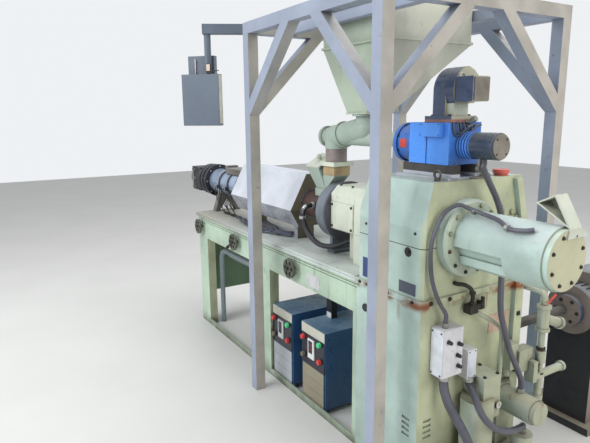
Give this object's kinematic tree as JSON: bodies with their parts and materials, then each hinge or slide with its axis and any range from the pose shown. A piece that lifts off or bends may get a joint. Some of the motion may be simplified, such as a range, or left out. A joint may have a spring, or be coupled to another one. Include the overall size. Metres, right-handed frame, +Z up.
{
  "type": "single-screw plastic extruder",
  "caption": "Extruder with gearbox, horizontal heated barrel on an open base, hopper in a steel frame, feed drive, temperature units and a swinging control pendant.",
  "frame": {"origin": "on the floor, under the centre of the gearbox pedestal's underside", "axes": "+X along the screw towards the gearbox and drive end, -Y to the operator, +Z up"},
  "size_m": [3.495, 1.85, 2.3],
  "materials": {
    "mint_paint": "worn semi-gloss mint green paint with rust at the seams",
    "deck_paint": "worn grey-green paint with dirt and spilt granulate",
    "cream_paint": "worn cream paint",
    "flange_steel": "dark oily steel",
    "feed_brown": "brown rusted casting",
    "barrel_steel": "blue-grey steel sheet",
    "band_steel": "dark steel",
    "cover_white": "white-grey sheet",
    "cover_mesh": "speckled perforated sheet",
    "black_iron": "black oily iron",
    "rail_brown": "brown paint, dusty",
    "rusty_iron": "rusty iron",
    "sleeve_steel": "brownish steel tube",
    "hopper_paint": "dusty mint paint",
    "motor_blue": "bright blue paint",
    "motor_black": "black paint, dusty",
    "blower_olive": "dark olive paint, oily",
    "cap_red": "red plastic cap",
    "box_white": "off-white plastic",
    "lead_black": "black-grey sheath",
    "pump_green": "oily grey-green paint",
    "column_grey": "grey paint, dirty",
    "shaft_steel": "plain steel",
    "unit_blue": "steel-blue paint",
    "gantry_grey": "light grey-lilac paint",
    "wheel_grey": "dirty grey casting",
    "arm_grey": "blue-grey paint",
    "panel_grey": "dark grey paint"
  },
  "bodies": {
    "machine": {"base_operator_side": "mint_paint", "base_far_side": "mint_paint", "base_end_wall": "mint_paint", "base_cross_members": "mint_paint", "base_deck": "deck_paint", "pedestal": "mint_paint", "gearbox_lower_housing": "mint_paint", "gearbox_upper_housing": "mint_paint", "thrust_cylinder": "mint_paint", "cylinder_end_plate": "mint_paint", "sensor_bracket": "cream_paint", "coupling_housing": "cream_paint", "feed_flange": "flange_steel", "feed_barrel": "feed_brown", "barrel": "barrel_steel", "clamp_bands": "band_steel", "terminal_channel": "column_grey", "cover_upper": "cover_white", "cover_lower": "cover_mesh", "barrel_support": "column_grey", "adapter_rings": "black_iron", "die_block": "black_iron", "gasket_ring": "lead_black", "throat_yoke": "mint_paint", "funnel_lid": "cream_paint", "inlet_flange": "cream_paint", "inlet_block": "rusty_iron", "drop_sleeve": "sleeve_steel", "chute_tube": "mint_paint", "dosing_tube": "mint_paint", "hopper_cone": "hopper_paint", "hopper_bin": "hopper_paint", "hopper_carriers": "gantry_grey", "feed_motor": "motor_blue", "feed_motor_brake": "motor_black", "motor_rails": "rail_brown", "blower_scroll": "blower_olive", "blower_neck": "cream_paint", "blower_motor": "blower_olive", "oil_filler": "cap_red", "lifting_eyes": "shaft_steel", "feed_hose": "lead_black", "junction_boxes": "box_white", "conduits": "lead_black", "pump_unit": "pump_green", "pump_motor": "pump_green", "pipework": "pump_green", "drive_motor": "motor_black", "drive_stand": "column_grey", "drive_shaft": "shaft_steel", "temperature_units": "unit_blue", "cooling_pipe": "pump_green", "gantry_posts": "gantry_grey", "gantry_beams": "gantry_grey", "gantry_side_beams": "gantry_grey", "gantry_braces": "gantry_grey", "valve_wheels": "wheel_grey", "pendant_post": "shaft_steel"},
    "pendant": {"pendant_arm": "arm_grey", "pendant_panel": "panel_grey"}
  },
  "joints": [
    {"name": "pendant_swivel", "type": "hinge", "parent": "machine", "child": "pendant", "pos_m": [-0.993, 0.631, 2.141], "axis": [0, 0, 1], "range_deg": [-60, 12]}
  ]
}
